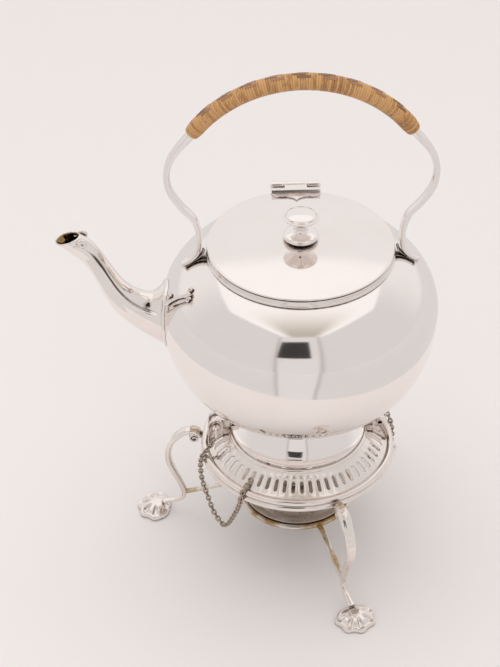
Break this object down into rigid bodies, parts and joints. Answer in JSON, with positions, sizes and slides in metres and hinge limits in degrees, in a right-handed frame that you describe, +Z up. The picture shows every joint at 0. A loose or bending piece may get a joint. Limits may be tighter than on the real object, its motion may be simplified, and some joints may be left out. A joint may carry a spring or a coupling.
{
  "type": "spirit kettle on stand",
  "caption": "Round silver-plated spirit kettle with hinged lid and bail handle, pinned to a pierced tripod stand with a spirit lamp.",
  "frame": {"origin": "on the stand's axis at the level of the soles", "axes": "+Z up, spout towards -X, lid hinge towards +Y"},
  "size_m": [0.2182, 0.1778, 0.329],
  "materials": {
    "silver_plate": "polished silver plate, slightly warm",
    "worn_plate": "silver plate worn through to warm base metal",
    "lamp_plate": "tarnished silver plate",
    "chain": "tarnished plate",
    "cane": "split cane, satin",
    "wick": "cotton"
  },
  "bodies": {
    "stand": {"gallery_band": "silver_plate", "gallery_bead": "silver_plate", "gallery_rim": "silver_plate", "stop_peg": "worn_plate", "pivot_lug": "silver_plate", "lock_lug": "silver_plate", "leg_1": "silver_plate", "leg_2": "silver_plate", "leg_3": "silver_plate", "foot_1": "silver_plate", "foot_2": "silver_plate", "foot_3": "silver_plate", "strut_1": "worn_plate", "strut_2": "worn_plate", "strut_3": "worn_plate", "lamp_ring": "worn_plate", "pivot_chain": "chain", "lock_chain": "chain"},
    "kettle": {"kettle_body": "silver_plate", "neck_collar": "silver_plate", "kettle_foot": "silver_plate", "pivot_tongue": "silver_plate", "lock_tongue": "silver_plate", "spout": "silver_plate", "spout_collar": "silver_plate", "spout_leaf": "silver_plate", "spout_scrolls": "silver_plate", "handle_strap_left": "silver_plate", "handle_strap_right": "silver_plate", "handle_grip": "cane", "handle_pad_left": "silver_plate", "handle_pad_right": "silver_plate", "hinge_base": "silver_plate", "hinge_pin": "silver_plate"},
    "lid": {"lid_shell": "silver_plate", "lid_bezel": "silver_plate", "lid_knob": "silver_plate", "lid_leaf": "silver_plate", "knob_washer": "silver_plate"},
    "pivot_pin": {"pivot_pin": "silver_plate"},
    "lock_pin": {"lock_pin": "silver_plate"},
    "lamp": {"lamp_reservoir": "lamp_plate", "lamp_burner": "worn_plate", "lamp_wick": "wick"},
    "snuffer": {"lamp_snuffer": "silver_plate"}
  },
  "joints": [
    {"name": "kettle_tilt", "type": "hinge", "parent": "stand", "child": "kettle", "pos_m": [-0.05, 0, 0.087], "axis": [0, -1, 0], "range_deg": [0, 50]},
    {"name": "lid_hinge", "type": "hinge", "parent": "kettle", "child": "lid", "pos_m": [0, 0.056, 0.2215], "axis": [-1, 0, 0], "range_deg": [0, 100]},
    {"name": "pivot_pin_slide", "type": "slide", "parent": "stand", "child": "pivot_pin", "axis": [0, -1, 0], "range_m": [0, 0.012]},
    {"name": "lock_pin_slide", "type": "slide", "parent": "stand", "child": "lock_pin", "axis": [0, -1, 0], "range_m": [-0.002, 0.0083]},
    {"name": "lamp_lift", "type": "slide", "parent": "stand", "child": "lamp", "axis": [0, 0, 1], "range_m": [0, 0.028]},
    {"name": "snuffer_lift", "type": "slide", "parent": "lamp", "child": "snuffer", "axis": [0, 0, 1], "range_m": [0, 0.012]}
  ]
}
